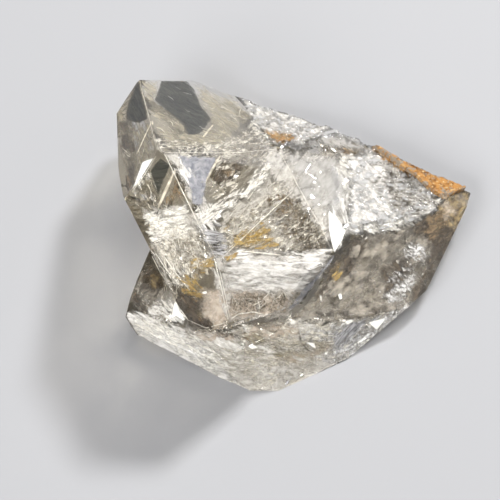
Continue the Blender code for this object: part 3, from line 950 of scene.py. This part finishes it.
paintedDarkWindows = {                                   # painted shade: dark sheets where the quartz shows only dark surroundings
    "light": (0.046, 0.046, 0.036), "dark": (0.008, 0.009, 0.007),
    "facet": 3.0, "height": 0.0, "smooth": True,
    "roughness": 0.6, "gloss": 0.0,
    "mask": {"Scale": 0.8, "Stretch": (0.16, 1.0, 1.0), "Threshold": 0.34, "Softness": 0.16, "Strength": 0.94,
             "Fade": 2.0, "Tone Scale": 2.4, "Ragged": 5.0},
    "patches": [
        ([(163, 80), (185, 80), (195, 92), (199, 105), (210, 119), (205, 126), (199, 133), (187, 133),
          (185, 124), (168, 110), (157, 101), (160, 88)], 0.36, 30),
        ([(139, 82), (143, 98), (147, 117), (140, 121), (127, 119), (130, 100)], 0.31, 60),
        ([(161, 77), (186, 77), (197, 91), (201, 105), (213, 119), (207, 127), (200, 135), (187, 136),
          (183, 125), (165, 110), (153, 101), (158, 88)], 0.30, 30),
        ([(138, 79), (143, 96), (149, 119), (140, 124), (124, 121), (128, 100)], 0.25, 60),
        ([(149, 171), (160, 156), (171, 165), (163, 185), (158, 200)], 0.33, 0),
        ([(297, 329), (300, 330), (303, 342), (313, 353), (307, 352), (299, 343)], 0.15, 0),
        ([(317, 329), (324, 321), (333, 318), (330, 323), (322, 328)], 0.2, 0),
        ([(341, 334), (350, 324), (354, 322), (346, 334)], 0.2, 0),
        ([(133, 308), (146, 312), (143, 316), (134, 312)], 0.4, 0),
    ],
}

paintedBlueWindows = {                                    # painted reflection: grey-blue windows where the quartz shows bluish surroundings
    "light": (0.46, 0.46, 0.485), "dark": (0.19, 0.20, 0.245), "facet": 3.0, "height": 0.0, "smooth": True,
    "roughness": 0.6, "gloss": 0.0,
    "mask": {"Scale": 0.5, "Threshold": 0.2, "Softness": 0.2, "Strength": 0.78, "Fade": 3.0,
             "Tone Scale": 1.1, "Ragged": 8.0},
    "patches": [
        ([(177, 154), (219, 156), (207, 182), (204, 208), (191, 206), (186, 178)], 0.25, 0),
        ([(330, 166), (338, 164), (343, 190), (338, 208), (332, 202)], 0.35, 84),
        ([(334, 254), (349, 232), (332, 262), (301, 304), (291, 311), (283, 312), (301, 290)], 0.4, 0),
    ],
}

gauze = {                                   # grey film on the smooth break
    "light": (0.50, 0.49, 0.475), "dark": (0.38, 0.37, 0.355), "facet": 2.0, "height": 0.03, "smooth": True,
    "roughness": 0.5, "gloss": 0.2,
    "mask": {"Scale": 0.7, "Stretch": (0.5, 1.0, 1.0), "Threshold": 0.36, "Softness": 0.2, "Strength": 0.62,
             "Fade": 8.0, "Tone Scale": 1.6, "Ragged": 18.0, "Detail": 3.5, "Distortion": 0.3},
    "patches": [
        ([(280, 150), (300, 150), (340, 156), (350, 190), (342, 212), (322, 214), (300, 202)], 0.15, -50),
        ([(308, 146), (322, 132), (346, 131), (372, 142), (364, 154), (336, 152)], 0.15, 20),
    ],
}

slate = {                                   # grey streaks
    "light": (0.62, 0.62, 0.64), "dark": (0.09, 0.09, 0.10), "facet": 1.0, "height": 0.08, "long": 0.3,
    "roughness": 0.4, "gloss": 0.4,
    "mask": {"Scale": 1.6, "Stretch": (0.14, 1.0, 1.0), "Threshold": 0.46, "Softness": 0.12, "Strength": 0.80,
             "Fade": 4.0, "Tone Scale": 3.6, "Ragged": 30.0},
    "patches": [
        ([(200, 224), (222, 222), (230, 240), (226, 260), (212, 262), (204, 244)], 0.4, 8),
        ([(326, 330), (378, 312), (386, 320), (344, 346)], 0.4, -36),
        ([(332, 340), (350, 320), (370, 320), (358, 342), (336, 358)], 0.14, -52),
        ([(128, 120), (150, 118), (156, 150), (134, 156)], 0.45, 74),
    ],
}

umber = {                                   # brown films
    "light": (0.24, 0.175, 0.105), "dark": (0.075, 0.052, 0.032),
    "facet": 2.0, "height": 0.10, "smooth": True,
    "roughness": 0.6, "gloss": 0.1,
    "mask": {"Scale": 0.9, "Stretch": (0.5, 1.0, 1.0), "Threshold": 0.44, "Softness": 0.14, "Strength": 0.84,
             "Fade": 4.0, "Tone Scale": 2.0, "Detail": 4.0},
    "patches": [
        ([(176, 174), (187, 199), (163, 207), (160, 209)], 0.7, 60),
        ([(220, 158), (240, 158), (234, 178), (213, 184)], 0.7, -40),
        ([(143, 268), (160, 268), (168, 288), (160, 296), (144, 290)], 0.7, -30),
        ([(174, 288), (190, 296), (203, 298), (196, 308), (203, 318), (216, 324), (206, 328), (194, 323),
          (184, 312)], 0.3, 40),
        ([(416, 222), (440, 210), (450, 226), (440, 246), (424, 240)], 0.45, -60),
        ([(424, 214), (442, 205), (452, 220), (444, 240), (426, 242)], 0.12, -30),
        ([(130, 292), (140, 286), (140, 302), (131, 306)], 0.5, 60),
        ([(264, 196), (290, 190), (306, 206), (316, 222), (326, 250), (306, 250), (282, 232), (270, 214)],
         1.9, 60),
        ([(118, 128), (140, 134), (136, 186), (128, 192), (121, 150)], 0.6, 80),
        ([(240, 330), (252, 333), (268, 344), (256, 347), (243, 342)], 0.5, 30),
        ([(328, 143), (350, 143), (364, 152), (350, 157), (334, 152)], 0.4, 30),
    ],
}

peat = {                                    # deep brown clouds
    "light": (0.105, 0.083, 0.06), "dark": (0.018, 0.014, 0.011),
    "facet": 2.0, "height": 0.10, "smooth": True,
    "roughness": 0.5, "gloss": 0.1,
    "mask": {"Scale": 0.7, "Stretch": (0.5, 1.0, 1.0), "Threshold": 0.45, "Softness": 0.14, "Strength": 0.88,
             "Fade": 6.0, "Tone Scale": 1.4, "Ragged": 24.0, "Detail": 3.5, "Distortion": 0.3},
    "patches": [
        ([(430, 224), (452, 230), (442, 262), (428, 298), (408, 308), (412, 286), (424, 262)], 0.3, -65),
        ([(408, 222), (440, 208), (450, 226), (440, 246), (416, 240)], 0.35, -30),
        ([(138, 262), (162, 264), (172, 290), (156, 300), (138, 288)], 0.35, -40),
        ([(170, 284), (190, 292), (208, 298), (206, 314), (220, 324), (208, 332), (188, 327), (176, 310)],
         0.3, 50),
        ([(378, 266), (402, 248), (420, 264), (404, 284), (384, 296)], 0.35, 40),
        ([(172, 284), (188, 293), (202, 300), (201, 314), (216, 326), (204, 334), (188, 327), (178, 310)],
         0.22, 50),
        ([(434, 222), (462, 226), (448, 268), (432, 306), (416, 304), (430, 262)], 0.15, -65),
        ([(116, 122), (132, 118), (140, 150), (134, 192), (122, 170)], 0.3, 80),
        ([(282, 226), (312, 214), (322, 250), (300, 254)], 1.6, 50),
        ([(336, 250), (356, 232), (374, 240), (356, 270), (330, 290), (306, 308)], 0.6, -52),
        ([(196, 326), (232, 330), (250, 338), (222, 342)], 0.35, 14),
        ([(220, 156), (250, 154), (246, 172), (222, 190), (210, 184)], 0.6, -40),
        ([(126, 296), (140, 292), (150, 312), (140, 318)], 0.3, 40),
    ],
}

ochre = {                                   # yellow stains
    "light": (0.48, 0.355, 0.13), "dark": (0.22, 0.135, 0.05), "facet": 1.0, "height": 0.15, "long": 0.4,
    "roughness": 0.6, "gloss": 0.1,
    "mask": {"Scale": 1.6, "Stretch": (0.30, 1.0, 1.0), "Threshold": 0.475, "Softness": 0.12, "Strength": 0.8,
             "Fade": 4.0, "Tone Scale": 3.4},
    "patches": [
        ([(232, 238), (256, 228), (276, 236), (283, 250), (262, 251), (244, 250), (230, 250)], 0.7, -14),
        ([(226, 246), (236, 232), (262, 220), (276, 232), (262, 240)], 1.0, -40),
        ([(222, 254), (243, 250), (237, 258), (226, 264)], 0.4, -30),
        ([(188, 259), (216, 252), (217, 270), (204, 276), (188, 273)], 0.25, -20),
        ([(174, 276), (199, 270), (205, 292), (182, 295)], 0.25, 35),
        ([(182, 289), (206, 290), (204, 300), (184, 299)], 0.35, 5),
        ([(328, 270), (340, 262), (346, 276), (334, 285)], 0.5, -50),
    ],
}

amber = {                                   # stain at the tip
    "light": (0.31, 0.235, 0.12), "dark": (0.075, 0.052, 0.03), "facet": 1.5, "height": 0.10, "smooth": True,
    "roughness": 0.5, "gloss": 0.2,
    "mask": {"Scale": 0.6, "Threshold": 0.36, "Softness": 0.22, "Strength": 0.84, "Fade": 5.0,
             "Tone Scale": 1.5, "Ragged": 10.0, "Detail": 3.0, "Distortion": 0.2},
    "patches": [
        ([(436, 206), (450, 189), (472, 186), (470, 204), (456, 236), (436, 250), (430, 228)], 0.35, -60),
        ([(146, 270), (162, 272), (168, 290), (150, 296)], 0.3, -30),
    ],
}

rose = {                                    # pinkish films
    "light": (0.69, 0.61, 0.52), "dark": (0.42, 0.34, 0.265), "facet": 1.5, "height": 0.05, "smooth": True,
    "roughness": 0.35, "gloss": 0.4,
    "mask": {"Scale": 0.4, "Threshold": 0.3, "Softness": 0.2, "Strength": 0.72, "Fade": 10.0,
             "Tone Scale": 1.2, "Ragged": 26.0, "Detail": 4.0, "Distortion": 0.4},
    "patches": [
        ([(192, 290), (206, 284), (232, 284), (238, 322), (213, 334), (198, 328)], 0.5, 20),
        ([(200, 290), (232, 286), (238, 320), (210, 330)], 0.4, 20),
        ([(222, 288), (300, 288), (290, 318), (228, 322)], 0.35, 5),
        ([(176, 326), (206, 330), (236, 330), (244, 344), (220, 350), (190, 344)], 0.35, 20),
        ([(250, 322), (300, 322), (306, 340), (262, 346), (244, 338)], 0.35, 0),
        ([(268, 352), (330, 340), (338, 350), (300, 368), (270, 368)], 0.35, 0),
        ([(434, 200), (452, 197), (460, 214), (444, 224)], 0.12, -60),
    ],
}

grain = {                                   # fine dark grains
    "light": (0.20, 0.165, 0.115), "dark": (0.07, 0.06, 0.045), "facet": 1.0, "height": 0.05,
    "roughness": 0.6, "gloss": 0.1,
    "mask": {"Scale": 4.5, "Stretch": (0.8, 1.0, 1.0), "Threshold": 0.545, "Softness": 0.04, "Strength": 0.85,
             "Fade": 4.0, "Tone Scale": 4.0},
    "patches": [
        ([(230, 291), (292, 291), (285, 312), (232, 316)], 0.3, 0),
        ([(212, 150), (250, 126), (264, 132), (278, 146), (262, 160), (240, 158)], 0.3, 0),
        ([(384, 166), (402, 168), (432, 190), (440, 200), (420, 218), (396, 214), (378, 190)], 0.2, 30),
        ([(262, 110), (300, 124), (322, 140), (296, 146), (268, 130)], 0.2, 25),
        ([(290, 206), (314, 206), (330, 250), (292, 254)], 0.5, 0),
        ([(134, 300), (164, 300), (168, 322), (140, 318)], 0.35, 0),
        ([(166, 240), (200, 232), (212, 256), (190, 272), (172, 262)], 0.3, 50),
        ([(118, 126), (150, 122), (154, 152), (134, 190)], 0.3, 70),
    ],
}

threadsAndEdgeHighlights = {                                 # healed lines, and painted highlights as bright lines along the natural edges
    "colour": (0.95, 0.92, 0.85), "sides": 6, "step": 1.5, "taper": 0.35, "tips": (0.02, 0.98),
    "roughness": 0.3,
    # gaps healed into a thread: its alpha there, a noise's scale and detail, and the range that opens them
    "gap": 0.65, "gapNoise": (700.0, 3.0), "gapRange": (0.38, 0.56),
    # frame points along each thread, depth and half-width in mm
    "paths": [
        ([(219, 261), (250, 231), (296, 188)], 0.9, 0.07),
        ([(241, 251), (262, 253), (281, 255)], 0.35, 0.10),
        ([(231, 319), (238, 314), (254, 312), (266, 315)], 0.4, 0.12),
        ([(214, 259), (218, 272), (224, 300), (228, 319)], 0.25, 0.05),
        ([(219, 267), (224, 290), (230, 318)], 0.25, 0.045),
        ([(155, 252), (165, 268), (180, 286)], 0.3, 0.035),
        ([(160, 250), (172, 268), (190, 291)], 0.35, 0.035),
        ([(152, 256), (160, 272), (173, 291)], 0.3, 0.05),
        ([(131, 322), (160, 337), (190, 354), (224, 377)], 0.25, 0.07),
        ([(136, 318), (160, 330), (190, 348), (214, 368)], 0.35, 0.11),
        # painted highlights: the paths from here on lie just under the surface, as bright lines along the
        # natural edges
        ([(140, 84), (149, 117), (157, 151)], 0.10, 0.035),
        ([(164, 153), (187, 200), (215, 257)], 0.10, 0.035),
        ([(165, 152.5), (207, 153), (240, 152.5), (276, 149)], 0.06, 0.045),
        ([(156, 156), (145, 174), (132, 192)], 0.10, 0.04),
        ([(280, 152), (310, 208), (322, 228), (332, 252)], 0.10, 0.03),
        ([(173, 298), (188, 320), (206, 328), (228, 322)], 0.10, 0.035),
    ],
}

bands = {                                   # broad pale bands
    "colour": (0.74, 0.68, 0.57), "gap": 0.45,
    "paths": [
        ([(220, 156), (211, 171), (202, 187)], 0.5, 0.22),
        ([(175, 170), (166, 190), (158, 208)], 0.5, 0.24),
        ([(213, 125), (203, 137)], 0.5, 0.16),
        ([(152, 121), (144, 138), (137, 154)], 0.4, 0.16),
    ],
}

hairs = {                                   # fine light and dark arcs
    "light": (0.90, 0.87, 0.79), "dark": (0.10, 0.075, 0.045), "seed": 7, "gap": 0.15,
    "width": (0.018, 0.045), "length": (4.0, 16.0), "bend": 0.6,    # mm, frame points, radians
    # outline in frame points, how many, heading in degrees and its spread, depth in mm, dark share
    "regions": [
        ([(152, 240), (200, 228), (214, 258), (180, 292), (168, 282)], 170, 52, 35, (0.3, 1.2), 0.40),
        ([(222, 214), (270, 176), (312, 206), (326, 250), (290, 252), (230, 248)],
         170, -40, 45, (0.4, 1.8), 0.40),
        ([(228, 292), (290, 292), (284, 312), (232, 316)], 120, 80, 50, (0.12, 0.35), 0.70),
        ([(134, 196), (158, 164), (184, 204), (140, 212)], 40, 62, 25, (0.3, 0.9), 0.5),
        ([(150, 84), (192, 84), (238, 102), (248, 124), (190, 146), (160, 150)], 70, 30, 9, (0.1, 0.5), 0.6),
        ([(222, 118), (250, 104), (262, 130), (236, 144)], 30, 40, 30, (0.1, 0.5), 0.75),
        ([(134, 314), (180, 326), (236, 352), (240, 384), (200, 364), (140, 334)],
         110, 30, 9, (0.15, 0.6), 0.25),
        ([(240, 330), (330, 322), (338, 352), (284, 382), (244, 384)], 70, 4, 14, (0.15, 0.6), 0.35),
        ([(120, 126), (152, 126), (134, 190), (124, 180)], 50, 66, 20, (0.3, 0.9), 0.6),
        ([(160, 148), (250, 124), (270, 142), (262, 160), (217, 158)], 50, -20, 40, (0.3, 0.9), 0.4),
        ([(132, 300), (170, 300), (176, 324), (144, 322)], 40, 30, 40, (0.3, 0.9), 0.5),
        ([(300, 322), (390, 314), (342, 352), (300, 350)], 20, -25, 20, (0.3, 1.0), 0.2),
        ([(180, 332), (290, 322), (290, 378), (240, 382)], 70, 8, 20, (0.3, 1.0), 0.4),
        ([(350, 160), (425, 195), (400, 224), (350, 226)], 30, 30, 25, (0.3, 0.8), 0.5),
    ],
}

paintedSparks = {                                  # painted glints, strewn
    "seed": 5, "size": (1.2, 3.4), "flat": 0.6,     # frame points from the middle, and height over width
    "depth": (0.15, 1.3), "step": 0.7,              # mm, and frame points between a glint's points
    "regions": [                                    # outline in frame points, how many
        ([(150, 230), (200, 215), (214, 258), (178, 290)], 26),
        ([(224, 210), (290, 170), (326, 250), (232, 252)], 26),
        ([(136, 318), (230, 330), (240, 380), (200, 360)], 22),
        ([(232, 322), (345, 318), (340, 355), (245, 382)], 34),
        ([(345, 316), (405, 306), (342, 352)], 12),
        ([(384, 300), (430, 240), (426, 280)], 10),
        ([(350, 156), (428, 192), (352, 228)], 20),
        ([(250, 104), (366, 143), (300, 146)], 12),
        ([(130, 296), (160, 280), (174, 322), (140, 316)], 10),
        ([(300, 306), (350, 250), (395, 262), (384, 300)], 10),
    ],
}


def strewn(random, outline, count, tries=3, margin=2):
    # places drawn over the outline's box, kept where they are inside by the margin, up to the count
    corners = np.array(outline, float)
    middles = random.uniform(corners.min(axis=0), corners.max(axis=0), (count * tries, 2))
    return middles[insideDistance(middles[:, 0], middles[:, 1], outline) > margin][:count]


def scatterPaintedSparks(values):
    # painted highlights: small bright facets strewn in each outline, each a four-cornered patch turned at
    # random
    random = np.random.default_rng(values["seed"])
    patches = []
    for outline, count in values["regions"]:
        for middle in strewn(random, outline, count):
            turns = np.sort(random.uniform(0, 2 * np.pi, 4)) + random.uniform(0, 2 * np.pi)
            size = random.uniform(*values["size"])
            spread = np.stack([np.cos(turns) * size, np.sin(turns) * size * values["flat"]], axis=1)
            patches.append(([tuple(place) for place in middle + spread], random.uniform(*values["depth"]), 0))
    return {**paintedGlints, "patches": patches, "step": values["step"]}


def scatterHairs(values):
    # short arcs strewn in each outline: a turn that changes evenly along the hair, summed into its path
    random = np.random.default_rng(values["seed"])
    light, dark = [], []
    for outline, count, heading, spread, depths, darkShare in values["regions"]:
        for middle in strewn(random, outline, count):
            turn = radians(heading + random.normal(0, spread))
            length, bend = random.uniform(*values["length"]), random.normal(0, values["bend"])
            turns = turn + bend * np.linspace(-0.5, 0.5, 5)
            steps = np.stack([np.cos(turns), np.sin(turns)], axis=1) * length / 5
            path = middle + np.cumsum(steps, axis=0) - steps.sum(axis=0) / 2
            kind = dark if random.uniform() < darkShare else light
            kind.append((path, random.uniform(*depths), random.uniform(*values["width"])))
    return light, dark


def threadRings(tree, path, depth, width, values):
    # a round profile along one sunk path, its half-width a low power of a sine, so thin at both ends
    path = np.array(path, float)
    along = np.concatenate([[0], np.cumsum(np.linalg.norm(np.diff(path, axis=0), axis=1))])
    spots = np.linspace(0, along[-1], max(4, int(along[-1] / values["step"])))
    across, down = np.interp(spots, along, path[:, 0]), np.interp(spots, along, path[:, 1])
    middle, missed = sunkPoints(tree, across, down, np.full(len(spots), depth))
    middle = middle[~missed]
    if len(middle) < 3:
        return None
    tangent = np.gradient(middle, axis=0)
    tangent /= np.maximum(np.linalg.norm(tangent, axis=1, keepdims=True), 1e-12)
    side = np.cross(tangent, back)
    side /= np.linalg.norm(side, axis=1, keepdims=True)
    lift = np.cross(side, tangent)
    thin = np.sin(np.pi * np.linspace(*values["tips"], len(middle))) ** values["taper"] * width * mm
    turns = np.linspace(0, 2 * np.pi, values["sides"], endpoint=False)
    ring = side[:, None] * np.cos(turns)[None, :, None] + lift[:, None] * np.sin(turns)[None, :, None]
    return middle[:, None] + ring * thin[:, None, None]


def threadPiece(name, tree, paths, colour, gap, values=threadsAndEdgeHighlights):
    # the rings of every path joined by quads, and a noise that heals gaps into each thread
    parts, faces, count, sides = [], [], 0, values["sides"]
    for path, depth, width in paths:
        rings = threadRings(tree, path, depth, width, values)
        if rings is None:
            continue
        parts.append(rings.reshape(-1, 3))
        row = np.arange(len(rings) - 1)[:, None] * sides
        start = (row + np.arange(sides)).ravel()
        after = (row + (np.arange(sides) + 1) % sides).ravel()
        faces.append(np.stack([start, start + sides, after + sides, after], axis=1) + count)
        count += len(rings) * sides
    data = bpy.data.meshes.new(name)
    data.from_pydata(np.concatenate(parts).tolist(), [], np.concatenate(faces).tolist())
    smoothShading(data)
    material, tree, shader = newMaterial(name, {"Base Color": (*colour, 1), "Roughness": values["roughness"]})
    noise = noiseOf(tree, objectPlace(tree), *values["gapNoise"])
    tree.links.new(ranged(tree, noise, *values["gapRange"], gap), shader.inputs["Alpha"])
    piece = addPiece(name, data, material)
    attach(piece, "root")


def makeFlawsAndPaintedLight():
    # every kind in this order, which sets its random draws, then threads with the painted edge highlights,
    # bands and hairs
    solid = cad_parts["quartz_crystals"].data
    places, faces = [point.co[:] for point in solid.vertices], [face.vertices[:] for face in solid.polygons]
    tree = BVHTree.FromPolygons(places, faces)
    group = makeSheetMaskGroup(sheetMask, sheetNoise)
    kinds = {
        "snowVeils": snow, "driftVeils": drift, "frostVeils": frost, "paintedGlintFacets": paintedGlints, "mistClouds": mist,
        "milkVeils": milk, "khakiFilms": khaki, "fawnClouds": fawn, "hazeFilms": haze, "foilFlakes": foil,
        "paintedShadeWindows": paintedDarkWindows, "paintedDuskWindows": paintedBlueWindows, "gauzeFilms": gauze, "slateStreaks": slate,
        "peatClouds": peat, "umberFilms": umber, "ochreFilms": ochre, "amberFilms": amber,
        "roseFilms": rose, "darkGrains": grain, "paintedSparkFacets": scatterPaintedSparks(paintedSparks)}
    for index, (name, values) in enumerate(kinds.items()):
        sheetPiece(name, tree, values, sheetMaterial(name, group, values), 100 * index)
    light, dark = scatterHairs(hairs)
    threadPiece("quartzThreadsAndEdgeHighlights", tree, threadsAndEdgeHighlights["paths"], threadsAndEdgeHighlights["colour"], threadsAndEdgeHighlights["gap"])
    threadPiece("quartzBands", tree, bands["paths"], bands["colour"], bands["gap"])
    threadPiece("lightHairs", tree, light, hairs["light"], hairs["gap"])
    threadPiece("darkHairs", tree, dark, hairs["dark"], hairs["gap"])


makeCamera(view)
makeStudio(studio)
print("studio made")
makeCrystal(crystal)
makeCrust(crust)
makeFlawsAndPaintedLight()
print("flaws made")
